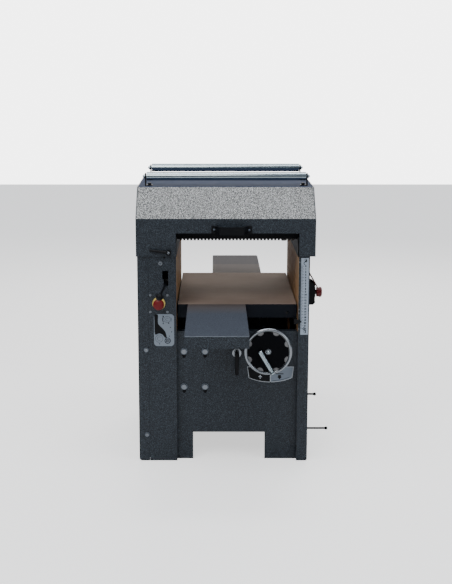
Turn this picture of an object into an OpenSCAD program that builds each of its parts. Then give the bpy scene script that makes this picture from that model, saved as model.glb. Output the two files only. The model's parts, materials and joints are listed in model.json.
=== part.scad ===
// Thickness planer with a 410 mm planing width. Front faces -Y, X to the right, Z up from the floor.

/* [Planing] */
// Planing width
planing_w = 410; // [400:1:412]
// Height of the table's top above the floor, as it stands
table_z = 563.7; // [560:0.1:568]
// Radius of the circle that the knife edges cut
cut_r = 48.5; // [48:0.1:49]
// Height of the cutterblock's axis above the floor
cutter_z = 820.2; // [820:0.1:824]

/* [Stand] */
// Depth of the stand from its front face to its back face
stand_d = 640; // [636:1:644]
// Height of the stand's two columns
stand_h = 736; // [734:1:738]
// Clear width between the two side frames
opening_w = 422; // [421:1:424]
// Outer face of the left console
console_x = -345; // [-347:1:-343]
// Outer face of the right column
column_x = 249; // [248:1:252]
// Sheet thickness of the stand and the hood
sheet = 3; // [2:0.5:3]

/* [Hood] */
// Left edge of the hood
hood_left = -348; // [-350:1:-348]
// Right edge of the hood
hood_right = 267; // [266:1:270]
// Height where the hood's front starts to slope
hood_band_z = 866; // [862:1:868]
// Height of the hood's flat top
hood_top_z = 963; // [960:1:966]
// Depth of the sloping front
hood_slope_d = 104; // [100:1:106]

/* [Table] */
// Width of the table
table_w = 412; // [408:1:412]
// Length of the table in the feed direction
table_d = 603; // [598:1:604]
// Length of the front extension
front_ext_d = 474; // [460:1:480]
// Length of the rear extension
rear_ext_d = 419; // [410:1:425]

/* [Handwheel] */
// Radius of the handwheel's rim at the middle of its tube
wheel_r = 77; // [75:0.5:77]
// Radius of the rim's tube
rim_r = 5.5; // [5:0.1:5.5]

/* [Hidden] */
$fn = 64;

// Clearances: a running fit, a gap between pieces that move past each other
run = 0.05;
gap = 0.3;
// Tiny overlap that makes cuts go right through
over = 1;

// Stand
half_w = opening_w / 2;
front_y = -stand_d / 2;
back_y = stand_d / 2;
frame_t = 8;
frame_x = half_w + frame_t;
frame_top = 725;
seam_x = -307;
panel_y = front_y + 22;
panel_h = 467;
panel_r = back_y - 22;
notch = [-155, 99];
notch_h = 99;

// Handwheel, lift screws and nuts
wheel = [105, -383, 415];
lift_x = 105;
bridge_z = 360;
bridge_t = 15;
gear_teeth = 32;
pinion_teeth = 16;
pitch_r = 40;
pitch_z = wheel.z - pitch_r / 2;

// Motor and belts
motor = [-200, 330];
pulley_x = -290;
motor_pulley_r = 70;
cutter_pulley_r = 42.5;
belt_w = 10;
belt_t = 7;
groove = 8;

// Head
infeed = [-95, 802.7];
outfeed = [95, 803.7];
feed_r = 32.5;
cheek_t = 14;
cheek_x = half_w + cheek_t;
journal_r = 15;
feed_journal_r = 12;
kick = [-178, 812];
sprocket_x = 228;
sprocket_r = 24;
chain_w = 6;
output = [-122, 200];

// Hood
hood_front = front_y - 8;
hood_back = back_y + 2;
slope = atan2(hood_top_z - hood_band_z, hood_slope_d);
hinge = [back_y + 14, 748];
top_front = hood_front + hood_slope_d;
top_back = hood_back - hood_slope_d;
roller_r = 15;
roller_span = [-319, 244];
roller_y = [-168, 168];
roller_z = 995.5;
spout = [-190, 893];

// Table
table_front = -300;
table_t = 15;
skirt_z = 516;

// Emergency stops
stop_front = [-271.3, 571];
stop_side = [-84, 564];
// Where the folding handle hinges on the rim, and how far it leans
fold_at = [wheel.x + 16, wheel.y - 15, wheel.z - 72];
fold_angle = 30.5;
// Section of the hood across the machine's depth, and the mitres of its bent edges
side_profile = [
    [hood_front, stand_h], [hood_front, hood_band_z], [top_front, hood_top_z], [top_back, hood_top_z],
    [hood_back, hood_band_z], [hood_back, stand_h]
];
// Mitres of the sheet at the foot and the head of the slope
mitre_low = sheet * tan((90 - slope) / 2);
mitre_high = sheet * tan(slope / 2);

// ---------- helpers ----------
module block(lo, hi) { translate(lo) cube(hi - lo); }
module rod_x(x0, x1, p, r) { translate([x0, p.x, p.y]) rotate([0, 90, 0]) cylinder(r = r, h = x1 - x0); }
module rod_y(y0, y1, p, r) { translate([p.x, y1, p.y]) rotate([90, 0, 0]) cylinder(r = r, h = y1 - y0); }
module rod_z(z0, z1, p, r) { translate([p.x, p.y, z0]) cylinder(r = r, h = z1 - z0); }
// Sweeps a profile drawn as (Y, Z) along X, or as (X, Z) along Y
module along_x(x0, x1) { translate([x0, 0, 0]) rotate([90, 0, 90]) linear_extrude(x1 - x0) children(); }
module along_y(y0, y1) { translate([0, y1, 0]) rotate([90, 0, 0]) linear_extrude(y1 - y0) children(); }
module both_sides() { children(); mirror([1, 0, 0]) children(); }

// The tangent line that a belt follows from wheel a to wheel b; a wheel is [centre, radius]
function tangent_line(a, b, grow) =
    let (step = b[0] - a[0], ra = a[1] + grow, rb = b[1] + grow)
    let (angle = atan2(step.y, step.x) - acos((ra - rb) / norm(step)))
    let (out = [cos(angle), sin(angle)])
    [a[0] + ra * out, b[0] + rb * out];

// Filled outline of a belt around wheels listed anticlockwise
module around(wheels, grow) {
    n = len(wheels);
    for (w = wheels) translate(w[0]) circle(r = w[1] + grow);
    polygon([for (i = [0:n - 1]) each tangent_line(wheels[i], wheels[(i + 1) % n], grow)]);
}

// A closed belt or chain, from its inner to its outer side
module belt(wheels, thick) {
    difference() {
        around(wheels, thick);
        around(wheels, 0);
    }
}

// Rectangle in the XZ plane whose two lower corners are rounded by r0 (left) and r1 (right)
module rounded_foot(x0, x1, z1, r0, r1) {
    difference() {
        translate([x0, 0]) square([x1 - x0, z1]);
        foot_corner(x0, 1, r0);
        foot_corner(x1, -1, r1);
    }
}

module foot_corner(x, side, r) {
    if (r > 0)
        difference() {
            translate([side > 0 ? x - over : x - r, -over]) square([r + over, r + over]);
            translate([x + side * r, r]) circle(r = r);
        }
}

// Hexagon bolt head with its washer, standing out of a face towards -Y
module bolt_front(x, y, z, washer_r, head_r) {
    rod_y(y - 2, y, [x, z], washer_r);
    translate([x, y - 2, z]) rotate([90, 0, 0]) cylinder(r = head_r, h = 7, $fn = 6);
}

// Round-headed screw with a socket, standing out of a face towards -Y
module screw_front(x, y, z, r, h) {
    difference() {
        rod_y(y - h, y, [x, z], r);
        rod_y(y - h - over, y - h / 2, [x, z], r / 2);
    }
}

// ---------- stand ----------
module left_console() {
    inner = -frame_x;
    color("darkslategray") {
        difference() {
            along_y(front_y, front_y + sheet) translate([seam_x, 0]) square([inner + frame_t - seam_x, stand_h]);
            block([-254, front_y - over, 632], [-238.5, front_y + sheet + over, 685]);
            block([-259, front_y - over, 656], [-251, front_y + sheet + over, 685]);
            rod_y(front_y - over, front_y + sheet + over, stop_front, 11.3);
            block([seam_x - over, front_y - over, 694.6], [-265, front_y + 1, 695.4]);
        }
        along_y(back_y - sheet, back_y) translate([seam_x, 0]) square([inner + frame_t - seam_x, stand_h]);
        // Lips that the side cover's flanges lie on
        for (y = [front_y + sheet, back_y - 2 * sheet])
            block([console_x + 20, y, 12], [seam_x + 20, y + sheet, stand_h - sheet]);
        block([seam_x, front_y + sheet, 0], [inner, back_y - sheet, sheet]);
        difference() {
            block([console_x + sheet, front_y + sheet, stand_h - sheet], [-cheek_x, back_y - sheet, stand_h]);
            block([-312, -175, stand_h - 2 * sheet], [-262, 85, stand_h + over]);
        }
    }
}

module side_cover() {
    color("darkslategray") {
        for (y = [front_y, back_y - sheet])
            difference() {
                along_y(y, y + sheet) rounded_foot(console_x, seam_x - 0.6, stand_h, 10, 0);
                for (z = [97, 405]) rod_y(y - over, y + sheet + over, [-317, z], 3.2);
            }
        block([console_x, front_y + sheet, 10], [console_x + sheet, back_y - sheet, stand_h]);
    }
}

module right_column() {
    color("darkslategray") difference() {
        along_y(front_y, back_y) rounded_foot(half_w, column_x, stand_h, 0, 7);
        block([half_w - over, front_y + sheet, sheet], [column_x - sheet, back_y - sheet, stand_h + over]);
        // Holes for the selector rods
        for (p = [[-170, 201], [-170, 71]]) rod_x(half_w, column_x + over, p, 3.8);
    }
}

module side_frames() {
    color("sienna") {
        difference() {
            block([-frame_x, front_y + sheet, 0], [-half_w, back_y - sheet, frame_top]);
            rod_x(-frame_x - over, -half_w + over, motor, 40);
        }
        difference() {
            block([half_w, front_y + sheet, sheet], [frame_x, back_y - sheet, frame_top]);
            rod_x(half_w - over, frame_x + over, output, 20);
            for (p = [[-170, 201], [-170, 71]]) rod_x(half_w - over, frame_x + over, p, 3.8);
        }
    }
}

// Cross panel between the columns; y is its front face
module cross_panel(y) {
    difference() {
        block([-half_w, y, 0], [half_w, y + sheet, panel_h]);
        block([notch[0], y - over, -over], [notch[1], y + sheet + over, notch_h]);
        children();
    }
}

module front_panel() {
    color("darkslategray") {
        cross_panel(panel_y) {
            for (x = [-186, -112], z = [395, 267]) motor_slot(x, z);
            rod_y(panel_y - over, panel_y + sheet + over, [wheel.x, wheel.z], 14);
            rod_y(panel_y - over, panel_y + sheet + over, [-1, 391], 8.3);
        }
        block([-half_w, panel_y + sheet, panel_h - sheet], [half_w, panel_y + 30, panel_h]);
    }
}

// Upright slot that lets the motor slide to tighten the belts
module motor_slot(x, z) {
    for (dz = [-18, 4]) rod_y(panel_y - over, panel_y + sheet + over, [x, z + dz], 6.5);
    block([x - 6.5, panel_y - over, z - 18], [x + 6.5, panel_y + sheet + over, z + 4]);
}

module rear_panel() {
    color("darkslategray") {
        cross_panel(panel_r - sheet) rod_y(panel_r - 2 * sheet, panel_r + over, [-150, 250], 12.1);
        block([-half_w, panel_r - 30, panel_h - sheet], [half_w, panel_r - sheet, panel_h]);
    }
}

module anchor_feet() {
    color("dimgray") both_sides() difference() {
        block([162, panel_y + sheet, 0], [half_w, panel_r - sheet, 8]);
        for (y = [-260, 260]) rod_z(-over, 8 + over, [186, y], 6.5);
    }
}

module outer_bolts() {
    color("lightgray") {
        for (x = [-186, -112], z = [395, 267]) {
            bolt_front(x, panel_y, z, 12, 9.5);
            rod_y(panel_y, panel_y + sheet, [x, z], 5.9);
        }
        for (z = [97, 405]) {
            rod_y(front_y - 1.5, front_y, [-317, z], 8.5);
            screw_front(-317, front_y - 1.5, z, 5.5, 4);
        }
        screw_front(-265, front_y, 711, 7, 3.5);
        for (x = [-301, -241.6], z = [541, 600]) screw_front(x, front_y, z, 4, 2.5);
    }
}

module power_inlet() {
    color("black") difference() {
        union() {
            rod_y(panel_r - sheet - 12, panel_r + 6, [-150, 250], 12);
            rod_y(panel_r, panel_r + 6, [-150, 250], 17);
            rod_y(panel_r + 6, panel_r + 26, [-150, 250], 13);
        }
        rod_y(panel_r - 20, panel_r + 30, [-150, 250], 6);
    }
}

module scale_plate() {
    color("silver") {
        block([219, front_y - 1.5, 460], [245, front_y, 730]);
        for (z = [471, 725]) screw_front(231, front_y - 1.5, z, 4.5, 2);
    }
}

// ---------- emergency stops ----------
module stop_base_front() {
    color("gold") difference() {
        union() {
            rod_y(front_y - 6, front_y, stop_front, 22);
            rod_y(front_y, front_y + 24, stop_front, 11);
        }
        rod_y(front_y - 6 - over, front_y + 24 + over, stop_front, 8 + run);
    }
}

// Mushroom button on its stem; its collar's face is at z = 0
module mushroom(stem) {
    translate([0, 0, -stem]) cylinder(r = 8, h = stem + 6);
    translate([0, 0, 4.3]) cylinder(r1 = 16.8, r2 = 17.5, h = 3.7);
    translate([0, 0, 8]) cylinder(r = 17.5, h = 6);
    translate([0, 0, 14]) cylinder(r = 19, h = 6);
    translate([0, 0, 20]) cylinder(r1 = 19, r2 = 17, h = 3);
    translate([0, 0, 23]) cylinder(r1 = 17, r2 = 12, h = 2);
}

module stop_button_front() {
    color("firebrick") translate([stop_front.x, front_y - 6, stop_front.y]) rotate([90, 0, 0]) mushroom(20);
}

module stop_box_side() {
    color("black") difference() {
        union() {
            along_y(stop_side.x - 36, stop_side.x + 36) polygon([
                [column_x, stop_side.y - 41], [column_x + 30, stop_side.y - 41], [column_x + 37, stop_side.y - 34],
                [column_x + 37, stop_side.y + 33], [column_x + 28, stop_side.y + 42], [column_x, stop_side.y + 42]
            ]);
            rod_x(column_x + 37, column_x + 40, stop_side, 21);
        }
        rod_x(column_x + 10, column_x + 41, stop_side, 8 + run);
    }
}

module stop_button_side() {
    color("firebrick") translate([column_x + 40, stop_side.x, stop_side.y]) rotate([0, 90, 0]) mushroom(24);
}

module stop_guard() {
    color("darkslategray") along_y(stop_side.x - 40, stop_side.x + 40) polygon([
        [column_x, 728], [column_x, 648], [column_x + 3, 648], [column_x + 3, 657],
        [column_x + 44, 586], [column_x + 47, 588], [column_x + 3, 664], [column_x + 3, 728]
    ]);
}

// ---------- head ----------
module head_cheeks() {
    color("dimgray") {
        cheek(-1);
        cheek(1);
    }
}

// One cast cheek; side is -1 on the left, 1 on the right
module cheek(side) {
    x0 = side > 0 ? half_w : -cheek_x;
    x1 = side > 0 ? cheek_x : -half_w;
    difference() {
        along_x(x0, x1) polygon([
            [-270, frame_top], [230, frame_top], [230, 770], [150, 900], [-150, 900], [-215, 850], [-270, 790]
        ]);
        rod_x(x0 - over, x1 + over, [0, cutter_z], 31 + run);
        for (p = [infeed, outfeed])
            block([x0 - over, p.x - 22, p.y - 22], [x1 + over, p.x + 22, 878]);
        rod_x(x0 - over, x1 + over, kick, 8 + run);
    }
    // Adjusting screws that load the springs
    for (p = [infeed, outfeed]) {
        rod_z(870, 912, [(x0 + x1) / 2, p.x], 5);
        rod_z(912, 918, [(x0 + x1) / 2, p.x], 6.5);
    }
}

module feed_bearings() {
    color("gray") for (p = [infeed, outfeed]) both_sides() difference() {
        block([half_w, p.x - 22 + run, p.y - 22], [cheek_x, p.x + 22 - run, p.y + 22]);
        rod_x(half_w - over, cheek_x + over, p, feed_journal_r + run);
    }
}

// Stack of disc springs around an adjusting screw; neighbours meet at the rim and at the bore in turn
module disc_springs(height) {
    discs = 10;
    bore = 5.5;
    rim = 10;
    wall = 1.2;
    step = height / discs;
    zig = [for (i = [0:discs]) [i % 2 == 0 ? rim : bore + wall, i * step]];
    zag = [for (i = [discs:-1:0]) [i % 2 == 0 ? rim - wall : bore, i * step]];
    rotate_extrude() polygon(concat(zig, zag));
}

module feed_springs() {
    x = (half_w + cheek_x) / 2;
    color("silver") for (p = [infeed, outfeed], side = [-1, 1])
        translate([side * x, p.x, p.y + 22]) disc_springs(870 - p.y - 22);
}

module cutter_bearings() {
    color("silver") both_sides() difference() {
        rod_x(half_w - 4, cheek_x + 2, [0, cutter_z], 31);
        rod_x(half_w - 5, cheek_x + 3, [0, cutter_z], journal_r + run);
    }
}

module cutterblock() {
    color("silver") {
        difference() {
            rod_x(-planing_w / 2, planing_w / 2, [0, cutter_z], cut_r - 2);
            for (a = [45:90:315]) translate([0, 0, cutter_z]) rotate([a, 0, 0])
                block([-planing_w / 2 - over, -6, cut_r - 22], [planing_w / 2 + over, 6, cut_r]);
        }
        rod_x(-312, cheek_x + 2, [0, cutter_z], journal_r);
        difference() {
            rod_x(pulley_x - 15, pulley_x + 15, [0, cutter_z], cutter_pulley_r);
            for (x = [pulley_x - 7, pulley_x + 7]) belt_groove(x, [0, cutter_z], cutter_pulley_r);
        }
    }
}

// Groove for one belt around a pulley of radius r
module belt_groove(x, p, r) {
    difference() {
        rod_x(x - belt_w / 2 - gap, x + belt_w / 2 + gap, p, r + over);
        rod_x(x - belt_w, x + belt_w, p, r - groove);
    }
}

module knives() {
    color("gainsboro") for (a = [45:90:315]) translate([0, 0, cutter_z]) rotate([a, 0, 0]) {
        block([-planing_w / 2, 3, cut_r - 20], [planing_w / 2, 6, cut_r - 0.5]);
        block([-planing_w / 2, -6, cut_r - 22], [planing_w / 2, 3, cut_r - 4]);
    }
}

module infeed_roller() {
    color("gray") {
        difference() {
            rod_x(-planing_w / 2, planing_w / 2, infeed, feed_r);
            for (a = [0:15:345]) translate([0, infeed.x, infeed.y]) rotate([a, 0, 0])
                translate([-planing_w / 2 - over, 0, feed_r]) rotate([45, 0, 0]) cube([planing_w + 2 * over, 3, 3]);
        }
        rod_x(-cheek_x, sprocket_x + chain_w, infeed, feed_journal_r);
        rod_x(sprocket_x, sprocket_x + chain_w, infeed, sprocket_r - gap);
    }
}

module outfeed_roller() {
    color("silver") {
        rod_x(-planing_w / 2, planing_w / 2, outfeed, feed_r);
        rod_x(-cheek_x, sprocket_x + chain_w, outfeed, feed_journal_r);
        rod_x(sprocket_x, sprocket_x + chain_w, outfeed, sprocket_r - gap);
    }
}

module kickback_shaft() {
    color("silver") rod_x(-cheek_x, cheek_x, kick, 8);
    // Bar in front of the fingers, between the cheeks
    color("dimgray") block([-half_w, -204, 778], [half_w, -196, 850]);
}

module kickback_fingers() {
    pitch = 12.4;
    color("gray") for (i = [-16:16]) difference() {
        along_x(i * pitch - 4, i * pitch + 4) {
            translate(kick) circle(r = 14);
            polygon([kick + [-12, -7], kick + [12, -7], kick + [5, -38], kick + [0, -43], kick + [-5, -38]]);
        }
        rod_x(i * pitch - 5, i * pitch + 5, kick, 8 + run);
    }
}

module chip_breaker() {
    color("dimgray") along_x(-half_w, half_w) polygon([
        [-62, 870], [-56, 870], [-52, 790], [-56, 773], [-60, 773], [-60, 790], [-66, 850]
    ]);
}

module pressure_bar() {
    color("dimgray") along_x(-half_w, half_w) polygon([
        [52, 772], [60, 772], [60, 845], [68, 845], [68, 851], [54, 851], [54, 790]
    ]);
}

// ---------- feed drive ----------
module feed_gearbox() {
    color("dimgray") {
        difference() {
            block([120, -235, 50], [half_w, -95, 250]);
            rod_x(190, half_w + over, output, 10 + run);
            for (p = [[-170, 201], [-170, 71]]) rod_x(134, half_w + over, [p.x, p.y], 3.5 + run);
        }
        rod_x(20, 120, [-165, 150], 50);
    }
}

module feed_sprocket() {
    color("gray") {
        rod_x(191, sprocket_x + chain_w, output, 10);
        rod_x(sprocket_x, sprocket_x + chain_w, output, sprocket_r - gap);
    }
}

module chains() {
    color("gray") {
        along_x(sprocket_x, sprocket_x + chain_w)
            belt([[output, sprocket_r], [outfeed, sprocket_r], [infeed, sprocket_r]], 6);
        translate([0, 0, 377]) linear_extrude(chain_w)
            belt([[[-lift_x, 0], pitch_r - 2], [[lift_x, 0], pitch_r - 2]], 6);
    }
}

// Push-pull rod with a ball knob; x is how far its tip stands out
module selector_rod(p, inner, x) {
    rod_x(inner, x - 4, p, 3.5);
    translate([x - 6, p.x, p.y]) sphere(r = 6);
}

module rod_upper() {
    color("black") selector_rod([-170, 201], 136, 292);
}

module rod_lower() {
    color("black") selector_rod([-170, 71], 180, 336);
}

// ---------- motor ----------
module motor_plate() {
    color("dimgray") difference() {
        block([-205, panel_y + sheet, 225], [-93, panel_y + sheet + 10, 415]);
        for (x = [-186, -112], z = [395, 267]) rod_y(panel_y, panel_y + 20, [x, z], 5.9);
    }
}

module motor() {
    color("steelblue") difference() {
        union() {
            rod_x(-195, -20, motor, 72);
            rod_x(-205, -195, motor, 60);
            rod_x(-20, 30, motor, 66);
            for (a = [0:15:345]) translate([0, motor.x, motor.y]) rotate([a, 0, 0])
                block([-185, -1.5, 70], [-25, 1.5, 78]);
            block([-180, panel_y + sheet + 10, 250], [-60, motor.x - 50, 400]);
        }
        rod_x(-206, 20, motor, 14 + run);
    }
}

module motor_rotor() {
    color("silver") {
        rod_x(pulley_x - 20, 15, motor, 14);
        difference() {
            rod_x(pulley_x - 15, pulley_x + 15, motor, motor_pulley_r);
            for (x = [pulley_x - 7, pulley_x + 7]) belt_groove(x, motor, motor_pulley_r);
        }
    }
}

module drive_belts() {
    wheels = [[motor, motor_pulley_r - groove + gap], [[0, cutter_z], cutter_pulley_r - groove + gap]];
    color("black") for (x = [pulley_x - 7, pulley_x + 7])
        along_x(x - belt_w / 2, x + belt_w / 2) belt(wheels, belt_t);
}

// ---------- table and lift ----------
module table() {
    y1 = table_front + table_d;
    low = table_z - table_t;
    half = table_w / 2;
    color("rosybrown") {
        block([-half, table_front, low], [half, y1, table_z]);
        difference() {
            block([-half, table_front, skirt_z], [half, y1, low]);
            block([-half + 12, table_front + 12, skirt_z - over], [half - 12, y1 - 12, low]);
            rod_y(table_front - over, table_front + 9, [174, 534], 5);
        }
        for (x = [-lift_x, lift_x]) rod_z(skirt_z + 2, low, [x, 0], 34);
        for (y = [-150, 0, 150]) block([-half + 12, y - 4, skirt_z + 4], [half - 12, y + 4, low]);
        // Machined pads that slide on the side frames
        both_sides() for (y = [-170, 170])
            block([half - 12, y - 30, 440], [half_w - run, y + 30, low]);
    }
}

module front_extension() {
    y0 = table_front - front_ext_d;
    color("slategray") {
        block([-172, y0, table_z - 4], [28.5, table_front, table_z]);
        block([-172, y0, table_z - 38.7], [28.5, y0 + 4, table_z - 4]);
        for (x = [-172, 24.5]) block([x, y0 + 4, table_z - 38.7], [x + 4, table_front, table_z - 4]);
        block([-168, table_front - 4, table_z - 38.7], [24.5, table_front, table_z - 4]);
    }
}

module rear_extension() {
    y0 = table_front + table_d;
    color("slategray") difference() {
        union() {
            block([-87, y0, table_z - 4], [107, y0 + rear_ext_d, table_z]);
            for (x = [-87, 103]) block([x, y0, table_z - 38.7], [x + 4, y0 + rear_ext_d - 30, table_z - 4]);
            block([-83, y0, table_z - 38.7], [103, y0 + 4, table_z - 4]);
            block([-83, y0 + rear_ext_d - 34, table_z - 38.7], [103, y0 + rear_ext_d - 30, table_z - 4]);
        }
        round_corner([-87, y0 + rear_ext_d], [1, -1], 8);
        round_corner([107, y0 + rear_ext_d], [-1, -1], 20);
    }
}

// Takes an upright square corner at p down to the radius r; dir points into the plate
module round_corner(p, dir, r) {
    translate([p.x, p.y, table_z - 50]) linear_extrude(60) difference() {
        translate([dir.x > 0 ? -over : -r, dir.y > 0 ? -over : -r]) square([r + over, r + over]);
        translate([dir.x * r, dir.y * r]) circle(r = r);
    }
}

module lift_screws() {
    color("silver") for (x = [-lift_x, lift_x]) {
        rod_z(skirt_z - 6, skirt_z + 2, [x, 0], 30);
        rod_z(170, skirt_z - 6, [x, 0], 15);
    }
}

module lift_bridge() {
    color("dimgray") difference() {
        union() {
            block([-half_w, -50, bridge_z], [half_w, 50, bridge_z + bridge_t]);
            for (y = [-50, 42]) block([-half_w, y, bridge_z - 30], [half_w, y + 8, bridge_z]);
        }
        for (x = [-lift_x, lift_x]) rod_z(bridge_z - over, bridge_z + bridge_t + over, [x, 0], 24 + run);
    }
}

// Rotating nut with its chain wheel; hollow for the lift screw
module lift_nut(x, top) {
    difference() {
        union() {
            rod_z(bridge_z, bridge_z + bridge_t, [x, 0], 24);
            rod_z(bridge_z + bridge_t, 377, [x, 0], 34);
            rod_z(377, 383, [x, 0], pitch_r - 2 - gap);
            rod_z(383, top, [x, 0], 28);
            children();
        }
        rod_z(bridge_z - over, top + 20, [x, 0], 15 + run);
    }
}

// Bevel wheel with its axis on Z and the cone's point at the origin; r is its pitch radius, depth the
// distance from its pitch circle up to the point
module bevel_wheel(r, depth, teeth, phase) {
    face = 10;
    cone = norm([r, depth]);
    k = (cone - face) / cone;
    low = 1.7;
    n = [depth, r] / cone;
    inner = [r * k, -depth * k] - low * n;
    outer = [r, -depth] - low * n;
    rotate_extrude() polygon([[0, inner.y], inner, outer, [outer.x - 6, outer.y - 6], [0, outer.y - 6]]);
    for (i = [0:teeth - 1]) rotate([0, 0, phase + 360 * i / teeth])
        rotate([0, atan2(depth, r), 0]) translate([cone - face + 0.5, -1, -low - 0.5]) cube([face - 1, 2, low + 1.7]);
}

module lift_nut_right() {
    color("gray") lift_nut(lift_x, 386)
        translate([lift_x, 0, wheel.z]) bevel_wheel(pitch_r, pitch_r / 2, gear_teeth, 0);
}

module lift_nut_left() {
    color("gray") lift_nut(-lift_x, 392);
}

// ---------- handwheel ----------
module shaft_bearing() {
    color("dimgray") difference() {
        union() {
            rod_y(panel_y - 8, panel_y, [wheel.x, wheel.z], 28);
            rod_y(panel_y - 30, panel_y + 12, [wheel.x, wheel.z], 13.5);
        }
        rod_y(panel_y - 31, panel_y + 13, [wheel.x, wheel.z], 10 + run);
    }
}

module wheel_shaft() {
    color("silver") {
        rod_y(wheel.y - 3, -46, [wheel.x, wheel.z], 10);
        translate([wheel.x, 0, wheel.z]) rotate([-90, 0, 0])
            bevel_wheel(pitch_r / 2, pitch_r, pinion_teeth, 180 / pinion_teeth);
        rod_y(wheel.y - 9, wheel.y - 3, [wheel.x, wheel.z], 8);
    }
}

module wheel_rim() {
    color("silver") {
        translate(wheel) rotate([90, 0, 0]) rotate_extrude($fn = 96) translate([wheel_r, 0]) circle(r = rim_r);
        difference() {
            rod_y(wheel.y - 1, wheel.y + 3, [wheel.x, wheel.z], wheel_r - 3);
            rod_y(wheel.y - 2, wheel.y + 4, [wheel.x, wheel.z], 50);
        }
        // Ears that carry the folding handle
        difference() {
            translate(fold_at) rotate([0, -fold_angle, 0]) for (x = [-8, 4.2]) {
                translate([x, 0, 0]) rotate([0, 90, 0]) cylinder(r = 6.5, h = 3.8);
                block([x, 0, -6.5], [x + 3.8, 10.9, 6.5]);
            }
            translate(fold_at) rotate([0, -fold_angle, 0]) translate([-10, 0, 0])
                rotate([0, 90, 0]) cylinder(r = 2.5 + run, h = 20);
        }
    }
}

module wheel_disc() {
    lobes = 8;
    color("black") difference() {
        union() {
            rod_y(wheel.y - 4, wheel.y - 1, [wheel.x, wheel.z], wheel_r - rim_r - 1);
            rod_y(wheel.y - 1, wheel.y + 3, [wheel.x, wheel.z], 50 - run);
            rod_y(wheel.y + 3, wheel.y + 24, [wheel.x, wheel.z], 20);
        }
        for (i = [0:lobes - 1]) rotate_about(360 * (i + 0.5) / lobes)
            rod_y(wheel.y - 5, wheel.y, [wheel.x + wheel_r - 4, wheel.z], 12);
        rod_y(wheel.y - 5, wheel.y + 25, [wheel.x, wheel.z], 10 + run);
    }
}

module rotate_about(a) {
    translate([wheel.x, 0, wheel.z]) rotate([0, a, 0]) translate([-wheel.x, 0, -wheel.z]) children();
}

module crank_handle() {
    color("silver") translate(fold_at) rotate([0, -fold_angle, 0]) {
        translate([-3.9, 0, 0]) rotate([0, 90, 0]) cylinder(r = 6.2, h = 7.8);
        translate([-8, 0, 0]) rotate([0, 90, 0]) cylinder(r = 2.5, h = 16);
        block([-3.9, -4, 0], [3.9, 4, 12]);
        translate([0, 0, 10]) cylinder(r1 = 6.5, r2 = 8, h = 2);
        translate([0, 0, 12]) cylinder(r = 8, h = 75);
        translate([0, 0, 87]) cylinder(r1 = 8, r2 = 6, h = 3);
    }
}

module lock_lever() {
    color("black") {
        rod_y(panel_y - 48, panel_y + 20, [-1, 391], 8);
        rod_y(panel_y - 12, panel_y - 0.5, [-1, 391], 16);
        translate([-1, panel_y - 42, 391]) rotate([188, 0, 0]) {
            cylinder(r1 = 8, r2 = 6.5, h = 72);
            translate([0, 0, 72]) cylinder(r1 = 6.5, r2 = 4, h = 3);
        }
    }
}

// ---------- hood ----------

module hood_shell() {
    color("darkslategray") {
        for (x = [hood_left, hood_right - sheet]) along_x(x, x + sheet) polygon(side_profile);
        hood_band() polygon([
            [hood_front, stand_h], [hood_front, hood_band_z], [hood_front + sheet, hood_band_z - mitre_low],
            [hood_front + sheet, stand_h]
        ]);
        spout_hole() hood_band() polygon([
            [hood_back, stand_h], [hood_back, hood_band_z], [hood_back - sheet, hood_band_z - mitre_low],
            [hood_back - sheet, stand_h]
        ]);
        // Rear slope
        spout_hole() along_x(hood_left + sheet, hood_right - sheet) polygon([
            [hood_back, hood_band_z], [top_back, hood_top_z], [top_back - mitre_high, hood_top_z - sheet],
            [hood_back - sheet, hood_band_z - mitre_low]
        ]);
        // Moving knuckles of the rear hinges
        for (x = [-300, 190]) difference() {
            union() {
                rod_x(x + 15.2, x + 44.8, hinge, 7);
                block([x + 15.2, hood_back, hinge.y], [x + 44.8, hinge.x, hinge.y + 7]);
                block([x + 15.2, hood_back, hinge.y], [x + 44.8, hood_back + 3, hinge.y + 30]);
            }
            rod_x(x, x + 60, hinge, 4 + run);
        }
    }
}

module spout_hole() {
    difference() {
        children();
        rod_y(top_back - 10, hood_back + 10, spout, 60 + run);
    }
}

// Front or rear band of the hood, cut out over the planing opening
module hood_band() {
    difference() {
        along_x(hood_left + sheet, hood_right - sheet) children();
        block([-half_w, hood_front - over, stand_h - over], [half_w, hood_back + over, 816]);
    }
}

module hood_front_panel() {
    color("darkgray") along_x(hood_left + sheet, hood_right - sheet) polygon([
        [hood_front, hood_band_z], [top_front, hood_top_z], [top_front + mitre_high, hood_top_z - sheet],
        [hood_front + sheet, hood_band_z - mitre_low]
    ]);
}

module hood_top() {
    color("slategray") along_x(hood_left + sheet, hood_right - sheet) polygon([
        [top_front, hood_top_z], [top_back, hood_top_z], [top_back - mitre_high, hood_top_z - sheet],
        [top_front + mitre_high, hood_top_z - sheet]
    ]);
}

module hood_handle() {
    y = hood_front;
    color("black") {
        for (x = [-89.5, 30.5]) difference() {
            block([x, y - 5, 815], [x + 18, y, 842]);
            rod_y(y - 6, y - 3, [x + 9, 828], 4);
        }
        for (s = [-1, 1]) handle_leg(s);
        block([-62, y - 36, 815], [21, y - 30, 842]);
    }
}

// One slanting leg of the handle; s is its side
module handle_leg(s) {
    y = hood_front;
    mid = -20.5;
    translate([mid, 0, 815]) linear_extrude(27) polygon([
        [s * 51, y - 5], [s * 57, y - 5], [s * 41.5, y - 36], [s * 35, y - 36], [s * 35, y - 30]
    ]);
}

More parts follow.
